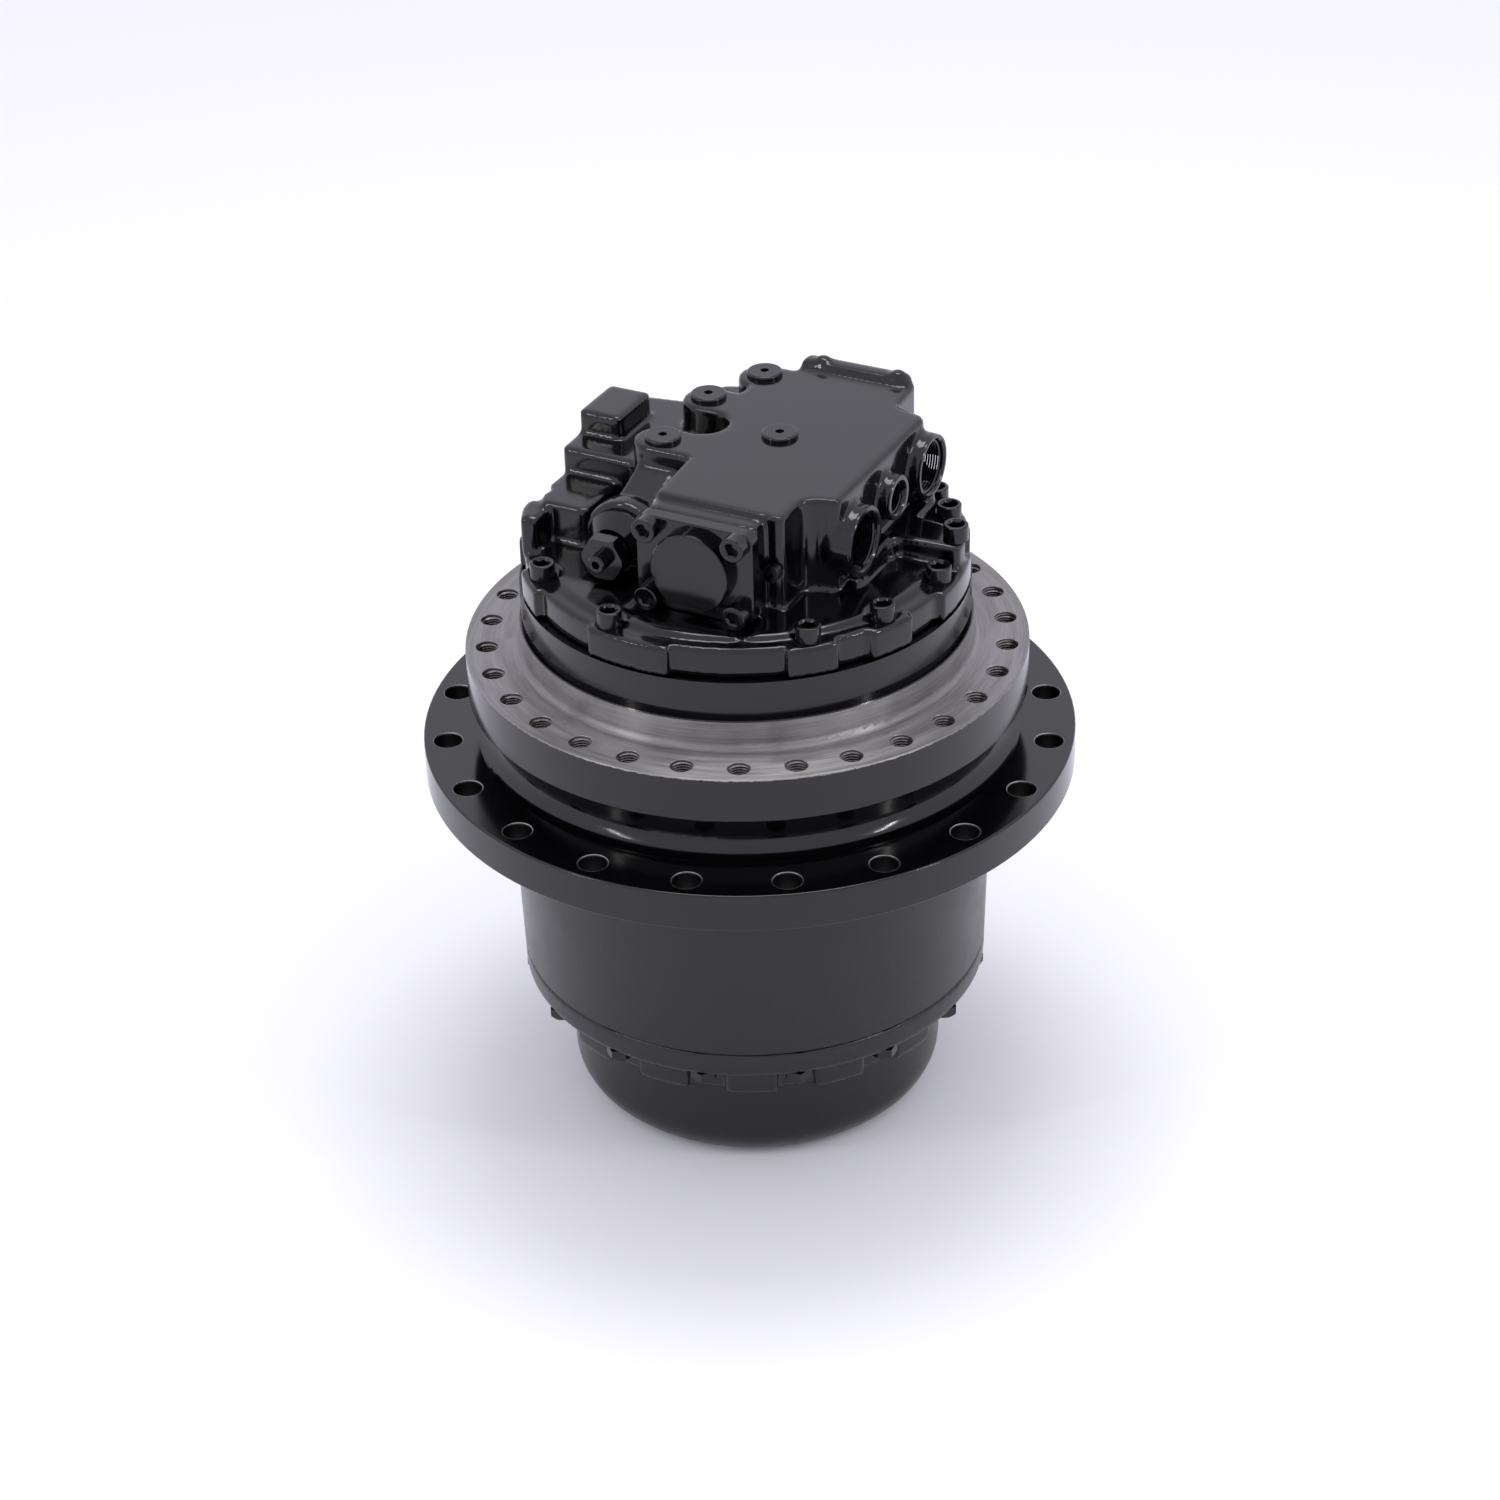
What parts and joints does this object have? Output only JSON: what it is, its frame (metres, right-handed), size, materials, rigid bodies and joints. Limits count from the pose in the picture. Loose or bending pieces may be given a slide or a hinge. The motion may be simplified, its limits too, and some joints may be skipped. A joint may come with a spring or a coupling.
{
  "type": "excavator final drive",
  "caption": "Planetary travel reducer for a tracked excavator, with a bolted frame flange, a drilled sprocket flange, a domed cover and a hydraulic motor with its valve head.",
  "frame": {"origin": "centre of the machined face of the spindle's flange that bolts to the track frame", "axes": "+Z along the axle towards the hydraulic motor and its valve head, with the domed output cover at -Z; +X and +Y across it, with the pictured side at -Y"},
  "size_m": [0.4799, 0.48, 0.5375],
  "materials": {
    "black_paint": "gloss",
    "gear_steel": "satin",
    "machined_steel": "satin",
    "bearing_steel": "polished",
    "bearing_bronze": "satin",
    "cast_iron": "matte",
    "spring_steel": "satin",
    "friction_lining": "matte",
    "seal_rubber": "matte"
  },
  "bodies": {
    "spindle": {"spindle_housing": "black_paint", "valve_head": "black_paint", "head_bolts": "black_paint", "front_cover": "black_paint", "front_cover_bolts": "black_paint", "spool_cap": "black_paint", "relief_valve_body": "black_paint", "relief_valve_locknut": "black_paint", "relief_valve_screw": "black_paint", "gallery_plugs": "black_paint", "check_plug": "black_paint", "upper_bearing_inner_race": "bearing_steel", "lower_bearing_inner_race": "bearing_steel", "bearing_nut": "machined_steel", "stage_2_carrier": "machined_steel", "stage_2_pins": "gear_steel", "stage_2_retainer": "machined_steel", "seal_ring_frame_side": "bearing_steel", "seal_rubber_frame_side": "seal_rubber", "valve_plate": "bearing_bronze", "swash_plate": "machined_steel", "brake_steel_plates": "machined_steel", "shaft_bearing_outer_race": "bearing_steel", "rear_shaft_bush": "bearing_bronze", "brake_springs": "spring_steel"},
    "hub": {"hub_housing": "black_paint", "end_cover": "black_paint", "cover_bolts": "black_paint", "cover_plugs": "black_paint", "ring_gear_1": "gear_steel", "ring_gear_2": "gear_steel", "upper_bearing_outer_race": "bearing_steel", "lower_bearing_outer_race": "bearing_steel", "seal_ring_hub_side": "bearing_steel", "seal_rubber_hub_side": "seal_rubber"},
    "upper_ball_set": {"upper_bearing_balls": "bearing_steel", "upper_bearing_cage": "bearing_bronze"},
    "lower_ball_set": {"lower_bearing_balls": "bearing_steel", "lower_bearing_cage": "bearing_bronze"},
    "motor_rotor": {"input_shaft": "machined_steel", "cylinder_block": "machined_steel", "pistons": "machined_steel", "piston_shoes": "bearing_bronze", "retainer_plate": "machined_steel", "sun_gear_1": "gear_steel", "brake_friction_plates": "friction_lining", "shaft_bearing_inner_race": "bearing_steel"},
    "first_carrier": {"carrier_1": "machined_steel", "carrier_1_pins": "gear_steel", "sun_gear_2": "gear_steel"},
    "brake_piston": {"brake_piston": "cast_iron"},
    "counterbalance_spool": {"counterbalance_spool": "machined_steel"},
    "planet_1_a": {"planet_1_a": "gear_steel"},
    "planet_1_b": {"planet_1_b": "gear_steel"},
    "planet_1_c": {"planet_1_c": "gear_steel"},
    "planet_2_a": {"planet_2_a": "gear_steel"},
    "planet_2_b": {"planet_2_b": "gear_steel"},
    "planet_2_c": {"planet_2_c": "gear_steel"},
    "planet_2_d": {"planet_2_d": "gear_steel"}
  },
  "joints": [
    {"name": "hub_spin", "type": "hinge", "parent": "spindle", "child": "hub", "pos_m": [0, 0, 0], "axis": [0, 0, 1], "continuous": true},
    {"name": "upper_ball_set_spin", "type": "hinge", "parent": "spindle", "child": "upper_ball_set", "pos_m": [0, 0, 0], "axis": [0, 0, 1], "continuous": true},
    {"name": "lower_ball_set_spin", "type": "hinge", "parent": "spindle", "child": "lower_ball_set", "pos_m": [0, 0, 0], "axis": [0, 0, 1], "continuous": true},
    {"name": "rotor_spin", "type": "hinge", "parent": "spindle", "child": "motor_rotor", "pos_m": [0, 0, 0], "axis": [0, 0, 1], "continuous": true},
    {"name": "first_carrier_spin", "type": "hinge", "parent": "spindle", "child": "first_carrier", "pos_m": [0, 0, 0], "axis": [0, 0, 1], "continuous": true},
    {"name": "brake_release", "type": "slide", "parent": "spindle", "child": "brake_piston", "axis": [0, 0, 1], "range_m": [0, 0.0025], "stiffness_N_per_m": 200000, "springref_m": -0.005, "deforming": ["brake_springs"]},
    {"name": "spool_shift", "type": "slide", "parent": "spindle", "child": "counterbalance_spool", "axis": [0.4648, 0.8854, 0], "range_m": [-0.006, 0.006], "stiffness_N_per_m": 8000},
    {"name": "planet_1_a_spin", "type": "hinge", "parent": "first_carrier", "child": "planet_1_a", "pos_m": [0, 0.072, -0.319], "axis": [0, 0, 1], "continuous": true},
    {"name": "planet_1_b_spin", "type": "hinge", "parent": "first_carrier", "child": "planet_1_b", "pos_m": [-0.06235, -0.036, -0.319], "axis": [0, 0, 1], "continuous": true},
    {"name": "planet_1_c_spin", "type": "hinge", "parent": "first_carrier", "child": "planet_1_c", "pos_m": [0.06235, -0.036, -0.319], "axis": [0, 0, 1], "continuous": true},
    {"name": "planet_2_a_spin", "type": "hinge", "parent": "spindle", "child": "planet_2_a", "pos_m": [0.06223, 0.06223, -0.191], "axis": [0, 0, 1], "continuous": true},
    {"name": "planet_2_b_spin", "type": "hinge", "parent": "spindle", "child": "planet_2_b", "pos_m": [-0.06223, 0.06223, -0.191], "axis": [0, 0, 1], "continuous": true},
    {"name": "planet_2_c_spin", "type": "hinge", "parent": "spindle", "child": "planet_2_c", "pos_m": [-0.06223, -0.06223, -0.191], "axis": [0, 0, 1], "continuous": true},
    {"name": "planet_2_d_spin", "type": "hinge", "parent": "spindle", "child": "planet_2_d", "pos_m": [0.06223, -0.06223, -0.191], "axis": [0, 0, 1], "continuous": true}
  ],
  "couplings": [
    {"joint": "upper_ball_set_spin", "follows": "hub_spin", "ratio": 0.53148},
    {"joint": "lower_ball_set_spin", "follows": "hub_spin", "ratio": 0.53148},
    {"joint": "rotor_spin", "follows": "hub_spin", "ratio": -34.2},
    {"joint": "first_carrier_spin", "follows": "hub_spin", "ratio": -4.5},
    {"joint": "planet_1_a_spin", "follows": "hub_spin", "ratio": 13.5},
    {"joint": "planet_1_b_spin", "follows": "hub_spin", "ratio": 13.5},
    {"joint": "planet_1_c_spin", "follows": "hub_spin", "ratio": 13.5},
    {"joint": "planet_2_a_spin", "follows": "hub_spin", "ratio": 2.5714},
    {"joint": "planet_2_b_spin", "follows": "hub_spin", "ratio": 2.5714},
    {"joint": "planet_2_c_spin", "follows": "hub_spin", "ratio": 2.5714},
    {"joint": "planet_2_d_spin", "follows": "hub_spin", "ratio": 2.5714}
  ]
}
